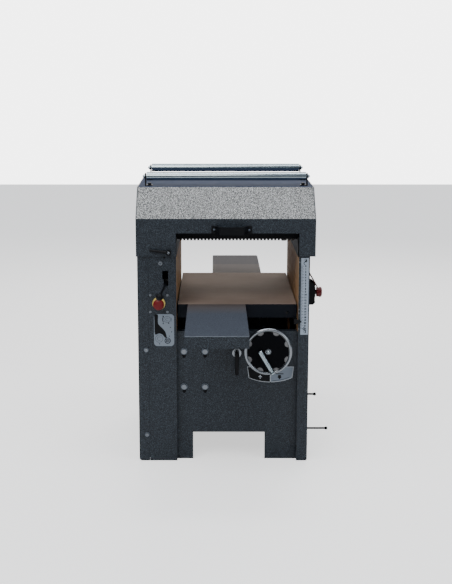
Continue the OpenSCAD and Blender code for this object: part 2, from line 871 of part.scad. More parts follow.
module hood_hinges() {
    color("silver") for (x = [-300, 190]) {
        rod_x(x, x + 60, hinge, 4);
        for (dx = [0, 45]) difference() {
            union() {
                rod_x(x + dx, x + dx + 15, hinge, 7);
                block([x + dx, back_y, 690], [x + dx + 15, back_y + 4, 732]);
                block([x + dx, back_y + 4, 726], [x + dx + 15, hinge.x + 4, 732]);
                block([x + dx, hinge.x - 4, 732], [x + dx + 15, hinge.x + 4, hinge.y]);
            }
            rod_x(x + dx - over, x + dx + 16, hinge, 4);
        }
    }
}

module roller_brackets() {
    color("black") for (y = roller_y, s = [-1, 1]) {
        x = s < 0 ? roller_span[0] : roller_span[1];
        difference() {
            union() {
                block([min(x, x + 4 * s), y - 12, hood_top_z], [max(x, x + 4 * s), y + 12, roller_z]);
                rod_x(min(x, x + 4 * s), max(x, x + 4 * s), [y, roller_z], 12);
            }
            rod_x(x - 6, x + 6, [y, roller_z], 5 + run);
        }
        block([min(x, x - 22 * s), y - 12, hood_top_z], [max(x, x - 22 * s), y + 12, hood_top_z + 3]);
        rod_z(hood_top_z + 3, hood_top_z + 9, [x - 12 * s, y], 6);
    }
}

// Return roller with its axle ends and cap nuts
module return_roller(y) {
    rod_x(roller_span[0] + 2, roller_span[1] - 2, [y, roller_z], roller_r);
    rod_x(roller_span[0] - 8, roller_span[1] + 8, [y, roller_z], 5);
    for (x = [roller_span[0] - 8, roller_span[1] + 4.5]) rod_x(x, x + 3.5, [y, roller_z], 8);
    for (x = [roller_span[0] - 8, roller_span[1] + 8]) translate([x, y, roller_z]) sphere(r = 5);
}

module return_roller_front() {
    color("lightgray") return_roller(roller_y[0]);
}

module return_roller_rear() {
    color("lightgray") return_roller(roller_y[1]);
}

module dust_spout() {
    color("slategray") difference() {
        union() {
            rod_y(top_back, hood_back + 50, spout, 60);
            rod_y(hood_back + 20, hood_back + 25, spout, 62);
        }
        rod_y(top_back - over, hood_back + 50 + over, spout, 57);
    }
}

module hood_latch() {
    color("black") {
        rod_y(hood_front - 15, hood_front - 0.5, [-236, 751], 9.5);
        translate([-236, hood_front - 9, 751]) rotate([0, -83, 0]) cylinder(r1 = 6, r2 = 4, h = 66);
    }
}

module feed_lever() {
    pivot = [-243, -285, 644];
    knob = [-263, -450, 620];
    arm = knob - pivot;
    color("black") {
        rod_x(pivot.x - 8, pivot.x + 8, [pivot.y, pivot.z], 9);
        translate(pivot) rotate([0, acos(arm.z / norm(arm)), atan2(arm.y, arm.x)]) cylinder(r = 4, h = norm(arm));
        translate(knob) sphere(r = 12.5);
    }
}

left_console();
side_cover();
right_column();
side_frames();
front_panel();
rear_panel();
anchor_feet();
head_cheeks();
cutter_bearings();
pressure_bar();
chip_breaker();
motor();
motor_plate();
outer_bolts();
drive_belts();
kickback_shaft();
feed_gearbox();
chains();
lift_bridge();
shaft_bearing();
scale_plate();
stop_base_front();
stop_box_side();
stop_guard();
power_inlet();
feed_bearings();
feed_springs();
hood_hinges();
table();
front_extension();
rear_extension();
lift_screws();
wheel_rim();
wheel_disc();
wheel_shaft();
crank_handle();
lift_nut_right();
lift_nut_left();
lock_lever();
hood_shell();
hood_front_panel();
hood_top();
hood_handle();
roller_brackets();
dust_spout();
return_roller_front();
return_roller_rear();
hood_latch();
feed_lever();
stop_button_front();
stop_button_side();
rod_upper();
rod_lower();
cutterblock();
knives();
motor_rotor();
infeed_roller();
outfeed_roller();
kickback_fingers();
feed_sprocket();
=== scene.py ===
"""Looks of the thickness planer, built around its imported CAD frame. Metres; X right, +Y feed direction, Z up."""
import json
import math

import bpy
import bmesh
from mathutils import Matrix, Vector


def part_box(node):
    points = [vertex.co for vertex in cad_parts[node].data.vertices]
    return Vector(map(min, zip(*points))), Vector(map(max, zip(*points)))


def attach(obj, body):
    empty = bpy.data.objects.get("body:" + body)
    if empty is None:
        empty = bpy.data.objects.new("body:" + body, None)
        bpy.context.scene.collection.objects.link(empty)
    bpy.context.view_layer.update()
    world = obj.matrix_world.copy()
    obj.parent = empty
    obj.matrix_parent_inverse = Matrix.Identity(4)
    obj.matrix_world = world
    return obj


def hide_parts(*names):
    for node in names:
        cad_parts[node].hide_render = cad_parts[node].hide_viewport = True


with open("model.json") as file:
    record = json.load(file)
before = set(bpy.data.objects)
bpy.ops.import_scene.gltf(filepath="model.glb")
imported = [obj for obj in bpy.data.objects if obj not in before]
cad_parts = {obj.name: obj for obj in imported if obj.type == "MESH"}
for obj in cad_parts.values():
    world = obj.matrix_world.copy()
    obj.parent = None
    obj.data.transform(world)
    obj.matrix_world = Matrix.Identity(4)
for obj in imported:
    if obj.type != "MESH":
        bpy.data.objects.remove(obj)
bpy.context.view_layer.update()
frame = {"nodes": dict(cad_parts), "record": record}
NODES = frame["nodes"]
MM = 0.001


# ---------- colours and materials ----------
def srgb(r, g, b):
    """Linear colour with alpha from 8-bit sRGB values."""
    def linear(c):
        c /= 255
        return c / 12.92 if c <= 0.04045 else ((c + 0.055) / 1.055) ** 2.4
    return (linear(r), linear(g), linear(b), 1.0)


class Shade:
    """A node material in the making, with short calls for the nodes that the materials share."""

    def __init__(self, name, rough=0.5, metal=0.0, sheen=0.5):
        self.mat = bpy.data.materials.new(name)
        self.mat.use_nodes = True
        self.tree = self.mat.node_tree
        self.shader = self.tree.nodes["Principled BSDF"]
        self.shader.inputs["Roughness"].default_value = rough
        self.shader.inputs["Metallic"].default_value = metal
        self.shader.inputs["Specular IOR Level"].default_value = sheen
        # Turned so that no flat face of the machine lies on a plane of the noise's lattice
        self.straight = self.add("ShaderNodeTexCoord").outputs["Object"]
        turned = self.add("ShaderNodeMapping", Rotation=(0.41, 0.67, 0.29), Location=(0.137, 0.211, 0.173))
        self.link(self.straight, turned.inputs["Vector"])
        self.coords = turned.outputs["Vector"]

    def add(self, kind, **inputs):
        node = self.tree.nodes.new(kind)
        for key, value in inputs.items():
            node.inputs[key].default_value = value
        return node

    def link(self, source, target):
        self.tree.links.new(source, target)

    def stretched(self, x, y, z):
        """Object coordinates scaled unevenly, for grain that runs one way."""
        node = self.add("ShaderNodeMapping", Scale=(x, y, z), Location=(0.0137, 0.0211, 0.0173))
        self.link(self.straight, node.inputs["Vector"])
        return node.outputs["Vector"]

    def noise(self, scale, detail=3.0, vector=None):
        node = self.add("ShaderNodeTexNoise", Scale=scale, Detail=detail)
        self.link(vector or self.coords, node.inputs["Vector"])
        return node.outputs["Fac"]

    def ramp(self, source, *stops):
        node = self.add("ShaderNodeValToRGB")
        elements = node.color_ramp.elements
        while len(elements) < len(stops):
            elements.new(0.5)
        for element, (place, colour) in zip(elements, stops):
            element.position = place
            element.color = colour
        self.link(source, node.inputs["Fac"])
        return node.outputs["Color"]

    def mixed(self, factor, a, b):
        node = self.tree.nodes.new("ShaderNodeMix")
        node.data_type = "RGBA"
        colour_a, colour_b = [s for s in node.inputs if s.type == "RGBA"]
        self.link(factor, node.inputs[0])
        for socket, value in ((colour_a, a), (colour_b, b)):
            if isinstance(value, tuple):
                socket.default_value = value
            else:
                self.link(value, socket)
        return [s for s in node.outputs if s.type == "RGBA"][0]

    def spread(self, source, low, high):
        node = self.add("ShaderNodeMapRange")
        node.inputs["To Min"].default_value = low
        node.inputs["To Max"].default_value = high
        self.link(source, node.inputs["Value"])
        return node.outputs["Result"]

    def colour(self, source):
        self.link(source, self.shader.inputs["Base Color"])

    def roughness(self, source, low, high):
        self.link(self.spread(source, low, high), self.shader.inputs["Roughness"])

    def bump(self, height, depth, strength=1.0):
        node = self.add("ShaderNodeBump", Strength=strength, Distance=depth)
        self.link(height, node.inputs["Height"])
        self.link(node.outputs["Normal"], self.shader.inputs["Normal"])


def hammertone(name, low, mid, high, rough, grain=430, sheen=0.35):
    """Hammered enamel: small pale and dark blotches over softly dimpled paint, with slow changes of tone."""
    s = Shade(name, rough, sheen=sheen)
    blotch = s.noise(grain, 2.0)
    paint = s.ramp(blotch, (0.36, low), (0.5, mid), (0.64, high))
    s.colour(s.mixed(s.spread(s.noise(3.0), 0.0, 0.2), paint, low))
    s.roughness(blotch, rough - 0.08, rough + 0.08)
    s.bump(s.noise(grain * 0.9, 1.0), 0.0006, 0.5)
    return s.mat


def smooth_paint(name, tone, shadow, rough, sheen=0.35):
    """Even enamel with a faint orange peel and a little handling grime."""
    s = Shade(name, rough, sheen=sheen)
    s.colour(s.mixed(s.spread(s.noise(7.0, 5.0), 0.0, 0.5), tone, shadow))
    s.roughness(s.noise(25.0), rough - 0.06, rough + 0.1)
    s.bump(s.noise(450.0, 1.0), 0.0002, 0.35)
    return s.mat


def moulded_plastic(name, tone, shadow, rough, sheen=0.25):
    """Moulded plastic with fine spark grain."""
    s = Shade(name, rough, sheen=sheen)
    s.colour(s.mixed(s.noise(60.0), tone, shadow))
    s.roughness(s.noise(90.0), rough - 0.05, rough + 0.08)
    s.bump(s.noise(1400.0, 1.0), 0.00012, 0.4)
    return s.mat


def polished_metal(name, tone, shadow, rough, stretch=(1, 1, 1)):
    """Bright metal with a fine turned or brushed grain that runs where stretch is small."""
    s = Shade(name, rough, 1.0)
    grain = s.noise(900.0, 2.0, s.stretched(*stretch))
    s.colour(s.mixed(s.spread(s.noise(18.0, 4.0), 0.0, 0.7), tone, shadow))
    s.roughness(grain, rough * 0.7, rough * 1.5)
    s.bump(grain, 0.00003, 0.25)
    return s.mat


def cast_paint(name, tone, shadow, rough):
    """Painted casting: the sand's texture shows through the paint."""
    s = Shade(name, rough, sheen=0.15)
    s.colour(s.mixed(s.noise(30.0, 5.0), tone, shadow))
    s.roughness(s.noise(60.0), rough - 0.1, rough + 0.1)
    s.bump(s.noise(420.0, 4.0), 0.0006, 0.5)
    return s.mat


def ground_iron():
    """Ground cast iron: fine lines across the table, a brown painted reflection of the warm surroundings, slow patches.
    """
    s = Shade("ground_iron", sheen=0.06)
    lines = s.noise(700.0, 3.0, s.stretched(0.04, 1.0, 1.0))
    wide = s.noise(160.0, 2.0, s.stretched(0.05, 1.0, 1.0))
    # Painted reflection: the table's brown stands in for the warm surroundings it reflects.
    brown_reflection = s.ramp(s.noise(5.0, 4.0), (0.3, srgb(136, 120, 110)), (0.7, srgb(156, 139, 128)))
    s.colour(s.mixed(s.spread(wide, 0.0, 0.45), brown_reflection, srgb(122, 107, 97)))
    s.roughness(lines, 0.5, 0.7)
    s.bump(lines, 0.00008, 0.5)
    return s.mat


def oiled_wall():
    """Machined side frame with a painted reflection: brown that stands in for the warm surroundings it reflects,
    streaked down the wall.
    """
    s = Shade("cast_frame", sheen=0.15)
    streak = s.noise(60.0, 4.0, s.stretched(1.0, 1.0, 0.06))
    # Brown painted reflection of the warm surroundings, laid on in streaks.
    s.colour(s.ramp(streak, (0.3, srgb(152, 118, 84)), (0.7, srgb(194, 156, 116))))
    s.roughness(streak, 0.4, 0.65)
    s.bump(s.noise(300.0), 0.0002, 0.5)
    return s.mat


def extension_paint():
    """Hammered enamel on the extensions, turning brown towards the table as a painted reflection of the warm
    surroundings; behind the machine a plain neutral grey is painted in its place, also a painted reflection.
    """
    s = Shade("extension_paint", sheen=0.1)
    blotch = s.noise(340.0, 2.0)
    paint = s.ramp(blotch, (0.36, srgb(50, 55, 64)), (0.5, srgb(64, 70, 80)), (0.66, srgb(84, 90, 100)))
    place = s.add("ShaderNodeSeparateXYZ")
    s.link(s.straight, place.inputs["Vector"])
    # Painted reflection: the brown of the warm surroundings fades in over the front extension towards the table.
    reflection_fade = s.add("ShaderNodeMapRange")
    unreflected_y, reflected_y, reflection_strength = -0.46, -0.30, 0.75
    for socket, value in (("From Min", unreflected_y), ("From Max", reflected_y), ("To Min", 0.0), ("To Max", reflection_strength)):
        reflection_fade.inputs[socket].default_value = value
    s.link(place.outputs["Y"], reflection_fade.inputs["Value"])
    paint = s.mixed(reflection_fade.outputs["Result"], paint, srgb(88, 78, 72))
    # Behind the machine the paint gives way to a plain neutral grey, a painted reflection.
    behind = s.add("ShaderNodeMath")
    behind.operation = "GREATER_THAN"
    s.link(place.outputs["Y"], behind.inputs[0])
    s.colour(s.mixed(behind.outputs["Value"], paint, srgb(66, 64, 67)))
    s.roughness(blotch, 0.45, 0.6)
    s.bump(s.noise(310.0, 1.0), 0.0005, 0.4)
    return s.mat


def build_materials():
    """One material for each of the record's slots."""
    return {
        "dark_hammertone": hammertone("dark_hammertone", srgb(15, 20, 26), srgb(30, 37, 45), srgb(66, 75, 84), 0.42),
        # The slanted hood panel wears the machine's own paint: these much lighter tones and near-white flecks are
        # painted light and painted glints for the overhead light it catches.
        "light_hammertone": hammertone("light_hammertone", srgb(6, 7, 8), srgb(52, 54, 55),
                                       srgb(238, 240, 240), 0.36, 520),
        "blue_grey_paint": smooth_paint("blue_grey_paint", srgb(60, 69, 88), srgb(50, 58, 76), 0.6, 0.02),
        "extension_paint": extension_paint(),
        "motor_paint": smooth_paint("motor_paint", srgb(48, 64, 88), srgb(36, 48, 68), 0.4),
        "cast_frame": oiled_wall(),
        "black_cast": cast_paint("black_cast", srgb(22, 24, 28), srgb(12, 13, 16), 0.5),
        "ground_iron": ground_iron(),
        "bright_steel": polished_metal("bright_steel", srgb(142, 147, 153), srgb(104, 109, 116), 0.24),
        "oiled_steel": polished_metal("oiled_steel", srgb(112, 112, 112), srgb(66, 64, 62), 0.38),
        "black_steel": smooth_paint("black_steel", srgb(9, 10, 12), srgb(16, 17, 20), 0.4, 0.2),
        "chrome": polished_metal("chrome", srgb(178, 192, 198), srgb(146, 160, 168), 0.14, (1, 60, 60)),
        "scale_aluminium": polished_metal("scale_aluminium", srgb(184, 196, 210), srgb(158, 170, 186), 0.45,
                                          (20, 1, 1)),
        "belt_rubber": moulded_plastic("belt_rubber", srgb(20, 20, 21), srgb(32, 31, 30), 0.7),
        "black_plastic": moulded_plastic("black_plastic", srgb(8, 9, 12), srgb(15, 17, 21), 0.42, 0.15),
        "yellow_plastic": moulded_plastic("yellow_plastic", srgb(232, 208, 120), srgb(216, 188, 96), 0.35),
        "red_plastic": moulded_plastic("red_plastic", srgb(110, 9, 16), srgb(84, 5, 12), 0.28, 0.35),
    }


MATERIALS = build_materials()
PRINT = {
    "silver": smooth_paint("print_silver", srgb(128, 138, 150), srgb(112, 122, 135), 0.4),
    "black": smooth_paint("print_black", srgb(9, 11, 14), srgb(14, 16, 20), 0.45, 0.15),
    "white": smooth_paint("print_white", srgb(196, 202, 208), srgb(176, 183, 190), 0.4),
    # Painted highlight for the bends at the extensions' outer ends.
    "edge": smooth_paint("painted_edge_highlight", srgb(118, 126, 136), srgb(96, 104, 114), 0.35),
}
WHEEL_METAL = polished_metal("wheel_metal", srgb(158, 163, 168), srgb(122, 127, 133), 0.2)
WHEEL_WEB = smooth_paint("wheel_web", srgb(122, 122, 124), srgb(98, 99, 102), 0.3, 0.6)
WHEEL_BLACK = smooth_paint("wheel_black", srgb(4, 5, 8), srgb(7, 8, 12), 0.3, 0.05)
GUARD_RED = smooth_paint("guard_red", srgb(74, 40, 36), srgb(52, 26, 24), 0.5)
TABLE_PAINT = smooth_paint("table_paint", srgb(12, 17, 25), srgb(8, 11, 16), 0.55, 0.12)
WASHER_ZINC = polished_metal("washer_zinc", srgb(112, 120, 130), srgb(76, 84, 93), 0.34)


def dress_frame():
    """Gives every CAD node its slot's material, and all but a few of them a small bevel that catches the light."""
    slots = {part["node"]: part["material_slot"] for part in frame["record"]["subparts"]}
    no_bevel = {"kickback_fingers", "chains", "drive_belts", "feed_springs", "lift_nut_right", "wheel_shaft",
                "infeed_roller", "knives"}
    wide = {"hood_shell": 1.2, "hood_front_panel": 1.0, "hood_top": 1.0, "left_console": 1.0, "side_cover": 1.0,
            "right_column": 1.2, "front_panel": 0.8, "table": 0.8, "front_extension": 1.2, "rear_extension": 1.2,
            "hood_handle": 2.0, "stop_box_side": 1.5, "roller_brackets": 0.8, "wheel_disc": 1.0}
    for name, obj in NODES.items():
        obj.data.materials.clear()
        obj.data.materials.append(MATERIALS[slots[name]])
        if name not in no_bevel:
            add_bevel(obj, wide.get(name, 0.4) * MM)
    table_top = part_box("table")[1].z
    paint_faces("table", TABLE_PAINT, lambda centre, normal: not (normal.z > 0.9 and centre.z > table_top - MM))
    for name in ("front_extension", "rear_extension"):
        paint_faces(name, MATERIALS["dark_hammertone"], lambda centre, normal: normal.z < 0.9)
    wheel_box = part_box("wheel_rim")
    hub = (wheel_box[0] + wheel_box[1]) / 2
    paint_faces("wheel_rim", WHEEL_METAL, everywhere)
    paint_faces("wheel_rim", WHEEL_WEB, lambda centre, normal: abs(normal.y) > 0.99
                and math.hypot(centre.x - hub.x, centre.z - hub.z) < 72 * MM)
    for name in ("wheel_disc", "rod_upper", "rod_lower"):
        paint_faces(name, WHEEL_BLACK, everywhere)
    paint_faces("stop_guard", GUARD_RED, everywhere)
    paint_faces("kickback_shaft", MATERIALS["black_cast"], everywhere)
    paint_faces("side_frames", MATERIALS["black_cast"], lambda centre, normal: abs(normal.y) > 0.9)
    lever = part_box("lock_lever")
    middle = (lever[0].x + lever[1].x) / 2
    paint_faces("lock_lever", WHEEL_METAL, lambda centre, normal: centre.y > panel_depth(-13)
                and (abs(centre.x - middle) > 9 * MM or normal.y < -0.9))
    washers = [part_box("front_panel")[0].y - MM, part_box("left_console")[0].y - 0.75 * MM]
    paint_faces("outer_bolts", WASHER_ZINC,
                lambda centre, normal: min(abs(centre.y - y) for y in washers) < 1.1 * MM)


def panel_depth(offset):
    """Depth of a place `offset` millimetres in front of or behind the front panel's face."""
    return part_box("front_panel")[0].y + offset * MM


def paint_faces(name, material, chosen):
    """Gives another material to the faces of a node that `chosen` picks by their centre and normal."""
    obj = NODES[name]
    obj.data.materials.append(material)
    number = len(obj.data.materials) - 1
    turn = obj.matrix_world.to_3x3()
    for face in obj.data.polygons:
        if chosen(obj.matrix_world @ face.center, turn @ face.normal):
            face.material_index = number


def everywhere(centre, normal):
    """Picks every face."""
    return True


def add_bevel(obj, width, segments=2):
    bevel = obj.modifiers.new("edge", "BEVEL")
    bevel.width = width
    bevel.segments = segments
    bevel.limit_method = "ANGLE"
    bevel.angle_limit = math.radians(35)
    bevel.harden_normals = False


# ---------- mesh helpers ----------
class Form:
    """Gathers solids into one mesh. Sizes are in millimetres in the machine's frame."""

    def __init__(self):
        self.bm = bmesh.new()

    def box(self, lo, hi, turn=None):
        made = bmesh.ops.create_cube(self.bm, size=1.0)["verts"]
        lo, hi = Vector(lo), Vector(hi)
        bmesh.ops.scale(self.bm, vec=hi - lo, verts=made)
        bmesh.ops.translate(self.bm, vec=(hi + lo) / 2, verts=made)
        if turn is not None:
            bmesh.ops.transform(self.bm, matrix=turn, verts=made)
        return self

    def lathe(self, start, axis, profile, sides=32):
        """Turned solid: profile is (distance along axis, radius) pairs from one end to the other."""
        axis = Vector(axis).normalized()
        turn = axis.to_track_quat("Z", "Y").to_matrix()
        rings = []
        for along, radius in profile:
            centre = Vector(start) + axis * along
            if radius <= 0:
                rings.append([self.bm.verts.new(centre)])
                continue
            ring = []
            for i in range(sides):
                a = 2 * math.pi * i / sides
                ring.append(self.bm.verts.new(centre + turn @ Vector((math.cos(a) * radius, math.sin(a) * radius, 0))))
            rings.append(ring)
        for a, b in zip(rings, rings[1:]):
            self.skin(a, b)
        for ring, flip in ((rings[0], True), (rings[-1], False)):
            if len(ring) > 1:
                self.bm.faces.new(ring[::-1] if flip else ring)
        return self

    def skin(self, a, b):
        n = max(len(a), len(b))
        for i in range(n):
            j = (i + 1) % n
            if len(a) == 1:
                self.bm.faces.new((a[0], b[j], b[i]))
            elif len(b) == 1:
                self.bm.faces.new((a[i], a[j], b[0]))
            else:
                self.bm.faces.new((a[i], a[j], b[j], b[i]))

    def prism(self, points, place, thick):
        """Outline swept along the local Z; place maps local (x, y, z) to the machine's frame."""
        low = [self.bm.verts.new(place @ Vector((x, y, 0))) for x, y in points]
        high = [self.bm.verts.new(place @ Vector((x, y, thick))) for x, y in points]
        self.bm.faces.new(low[::-1])
        self.bm.faces.new(high)
        self.skin(low, high)
        return self

    def tube(self, path, radius, sides=12, closed=False):
        """Round bar along a path of points."""
        path = [Vector(p) for p in path]
        n = len(path)
        rings = []
        side = None
        for i, p in enumerate(path):
            ahead = path[(i + 1) % n] if closed or i < n - 1 else p
            behind = path[i - 1] if closed or i > 0 else p
            tangent = (ahead - behind).normalized()
            if side is None:
                side = tangent.orthogonal().normalized()
            side = (side - tangent * side.dot(tangent)).normalized()
            other = tangent.cross(side)
            rings.append([self.bm.verts.new(p + radius * (math.cos(a) * side + math.sin(a) * other))
                          for a in (2 * math.pi * k / sides for k in range(sides))])
        for a, b in zip(rings, rings[1:] + (rings[:1] if closed else [])):
            self.skin(a, b)
        if not closed:
            self.bm.faces.new(rings[0][::-1])
            self.bm.faces.new(rings[-1])
        return self

    def finish(self, name, body, slot, material=None, bevel=0.0, smooth=True):
        """Makes the object, in metres, riding on a CAD body."""
        bmesh.ops.recalc_face_normals(self.bm, faces=self.bm.faces)
        bmesh.ops.scale(self.bm, vec=(MM, MM, MM), verts=self.bm.verts)
        mesh = bpy.data.meshes.new(name)
        self.bm.to_mesh(mesh)
        self.bm.free()
        obj = bpy.data.objects.new(name, mesh)
        bpy.context.scene.collection.objects.link(obj)
        mesh.materials.append(material or MATERIALS[slot])
        if smooth:
            mesh.shade_smooth()
            mesh.set_sharp_from_angle(angle=math.radians(32))
        if bevel:
            add_bevel(obj, bevel * MM)
        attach(obj, body)
        return obj


def placed(origin, u, v, w):
    """Maps local (x, y, z) to origin + x u + y v + z w."""
    m = Matrix((u, v, w)).transposed().to_4x4()
    m.translation = Vector(origin)
    return m


def front_plane(y):
    """Local (x, y) becomes (X, Z) on a front face at depth y, rising towards the viewer."""
    return placed((0, y, 0), (1, 0, 0), (0, 0, 1), (0, -1, 0))


def side_plane(x):
    """Local (x, y) becomes (Y, Z) on a right-hand face at x, rising to the right."""
    return placed((x, 0, 0), (0, 1, 0), (0, 0, 1), (1, 0, 0))


def arc(cx, cy, r, a0, a1, steps=16):
    return [(cx + r * math.cos(math.radians(a0 + (a1 - a0) * i / steps)),
             cy + r * math.sin(math.radians(a0 + (a1 - a0) * i / steps))) for i in range(steps + 1)]


def rounded(x0, y0, x1, y1, r):
    return (arc(x1 - r, y0 + r, r, -90, 0, 6) + arc(x1 - r, y1 - r, r, 0, 90, 6)
            + arc(x0 + r, y1 - r, r, 90, 180, 6) + arc(x0 + r, y0 + r, r, 180, 270, 6))


def ring_outline(form, cx, cy, r, width, place, thick, a0=0, a1=360, steps=32):
    """A flat ring, or a part of one, laid on a face."""
    outer = arc(cx, cy, r, a0, a1, steps)
    inner = arc(cx, cy, r - width, a0, a1, steps)
    for i in range(steps):
        form.prism([inner[i], outer[i], outer[i + 1], inner[i + 1]], place, thick)


dress_frame()

# ---------- places taken from the frame ----------
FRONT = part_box("left_console")[0].y / MM
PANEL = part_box("front_panel")[0].y / MM
column_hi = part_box("right_column")[1] / MM
scale_lo, scale_hi = [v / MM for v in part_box("scale_plate")]
hood_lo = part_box("hood_shell")[0] / MM
table_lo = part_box("table")[0] / MM
LIFT_SCREW_X = 105


# ---------- labels ----------
def softened(points, rounds=3):
    """Closed outline with its corners cut again and again until it reads as a curve."""
    for _ in range(rounds):
        cut = []
        for (ax, ay), (bx, by) in zip(points, points[1:] + points[:1]):
            cut += [(ax * 0.75 + bx * 0.25, ay * 0.75 + by * 0.25), (ax * 0.25 + bx * 0.75, ay * 0.25 + by * 0.75)]
        points = cut
    return points


def strip(form, x0, z0, x1, z1, place, thick=0.25):
    """A thin printed rectangle."""
    form.prism([(x0, z0), (x1, z0), (x1, z1), (x0, z1)], place, thick)


def control_label():
    """Silver plate with a dark S-curve down its left side and round pictograms for the feed and the hood."""
    x0, x1, z0, z1 = -289, -219, 419, 533
    base = front_plane(FRONT)
    Form().prism(rounded(x0, z0, x1, z1, 12), base, 0.8).finish(
        "control_label_plate", "base", "scale_aluminium", PRINT["silver"], 0.3)
    top = front_plane(FRONT - 0.8)
    black = softened([(-287, 510), (-288, 532), (-280, 532), (-274.5, 532), (-275, 512), (-275.5, 498), (-263, 486),
                      (-250, 472), (-245.5, 456), (-244.5, 446), (-252, 450), (-261, 463), (-275, 465), (-287.5, 456)])
    Form().prism(black, top, 0.25).finish("control_label_dark", "base", "black_plastic", PRINT["black"])
    dark = Form()
    for x, z, r, width in ((-243, 514, 11.5, 0.9), (-271.5, 446, 13.5, 0.9), (-242, 438.5, 10.8, 2.2)):
        ring_outline(dark, x, z, r, width, top, 0.25)
        ring_outline(dark, x, z, r * 0.5, 0.9, top, 0.25, 40, 320)
    ring_outline(dark, -243, 514, 17, 2.2, top, 0.25, 140, 220, 12)
    ring_outline(dark, -243, 514, 15, 1.0, top, 0.25, -30, 30, 10)
    for tip, side in (((-259, 527), 1), ((-259, 502), 1), ((-235.5, 498.5), -1)):
        dark.prism([tip, (tip[0] + 5 * side, tip[1] - 1 * side), (tip[0] + 1.5 * side, tip[1] - 5.5 * side)], top, 0.25)
    for i in range(3):
        strip(dark, -249, 433.5 + 4 * i, -235, 435.4 + 4 * i, top)
    for x, z in ((-232, 486), (-228, 470), (-236, 455), (-270, 427)):
        dark.prism(arc(x, z, 1.8, 0, 360, 12)[:-1], top, 0.25)
    dark.finish("control_label_marks", "base", "black_plastic", PRINT["black"])


def wheel_label():
    """Arc label behind the handwheel: pale edge, a dark half with a plus and a silver half with a minus."""
    cx, r, z_low = 118, 190, 282
    centre_z = z_low + r
    plane = [front_plane(PANEL - d) for d in (0, 0.4, 0.65)]

    def half(side, inset):
        """Outline of one half, drawn from the middle outwards and back."""
        a_in, a_out = -90 + side * 0.5, -90 + side * (23.8 - inset * 0.3)
        low = arc(cx, centre_z, r - inset, a_in, a_out, 14)
        return low + [(cx + side * (82 - inset), 339 - inset), (cx + side * 1.2, 339 - inset)]

    edge = Form()
    for side in (-1, 1):
        edge.prism(half(side, 0), plane[0], 0.4)
    strip(edge, cx - 1.4, 284, cx + 1.4, 339, plane[0], 0.4)
    edge.finish("wheel_label_plate", "base", "scale_aluminium", PRINT["white"])
    Form().prism(half(-1, 1.8), plane[1], 0.25).finish(
        "wheel_label_dark", "base", "black_plastic", PRINT["black"])
    Form().prism(half(1, 1.8), plane[1], 0.25).finish(
        "wheel_label_light", "base", "scale_aluminium", PRINT["silver"])
    light = Form()
    strip(light, cx - 42, 300.5, cx - 30, 304, plane[2])
    strip(light, cx - 37.8, 296, cx - 34.2, 308.5, plane[2])
    light.finish("wheel_label_plus", "base", "scale_aluminium", PRINT["white"])
    dark = Form()
    strip(dark, cx + 19, 311.5, cx + 46, 314.3, plane[2])
    dark.prism([(cx + 24, 302), (cx + 40, 302), (cx + 32, 293)], plane[2], 0.25)
    strip(dark, cx + 27, 302, cx + 37, 308.5, plane[2])
    arc_band = arc(cx, centre_z, r - 5, -88, -69, 12)
    dark.prism(arc_band + [(x, z + 1.2) for x, z in reversed(arc_band)], plane[2], 0.25)
    dark.finish("wheel_label_minus", "base", "black_plastic", PRINT["black"])


def scale_marks():
    """Millimetre scale: a line every 5 mm, a longer one every 10 mm, and its number every 10 mm."""
    zero_z, count = 702, 23
    plane = front_plane(scale_hi.y - 1.5)
    lines = Form()
    for i in range(2 * count - 1):
        z = zero_z - 5 * i
        strip(lines, scale_lo.x + 1, z - 0.7, scale_lo.x + (9 if i % 2 == 0 else 5), z + 0.7, plane)
    middle = (scale_lo.x + scale_hi.x) / 2
    for z, side in ((scale_hi.z - 9, 1), (scale_lo.z + 12, -1)):
        socket_screw(lines, (middle + 2, scale_hi.y - 1.5, z + 2 * side), (0, -1, 0), 4.6, 1.4)
        ring_outline(lines, middle + 1, z - 9 * side, 6, 2.0, plane, 0.25, 90, 270, 12)
        lines.prism([(middle, z - 1 * side), (middle + 8, z - 3 * side), (middle + 2, z - 7 * side)], plane, 0.25)
    lines.finish("scale_lines", "base", "black_plastic", PRINT["black"])
    for i in range(count):
        number(str(i), (scale_lo.x + 15.5, scale_hi.y - 1.6, zero_z - 10 * i - 2.8), 8, "scale_number_%02d" % i)


def number(text, at, size, name):
    """A raised number on a front face."""
    curve = bpy.data.curves.new(name, "FONT")
    curve.body = text
    curve.size = size * MM
    curve.extrude = 0.15 * MM
    curve.offset = 0.45 * MM
    curve.align_x = "CENTER"
    obj = bpy.data.objects.new(name, curve)
    bpy.context.scene.collection.objects.link(obj)
    obj.matrix_world = Matrix.Translation(Vector(at) * MM) @ Matrix.Rotation(math.pi / 2, 4, "X")
    curve.materials.append(PRINT["black"])
    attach(obj, "base")


def table_pointer():
    """Pointer that reads the table's height on the column's scale."""
    form = Form()
    form.box((196, -326, 498), (206, -300, 516))
    form.box((206, -326, 500), (217, -323.5, 514))
    form.prism([(217, 503), (224, 507), (217, 511)], front_plane(-323.5), 2.5)
    form.finish("table_pointer", "table_unit", "black_steel", bevel=0.4)


# ---------- fasteners ----------
def socket_screw(form, at, axis, r, h):
    """Round-headed screw with a hexagon socket, its head standing on a face at `at`."""
    axis = Vector(axis).normalized()
    form.lathe(at, axis, [(0, r), (h * 0.6, r), (h, r * 0.72), (h, r * 0.5), (h * 0.45, r * 0.5), (h * 0.45, 0)], 24)


def hex_nut(form, at, axis, r, h):
    form.lathe(at, axis, [(0, r * 0.9), (h * 0.12, r), (h * 0.88, r), (h, r * 0.86), (h, 0)], 6)


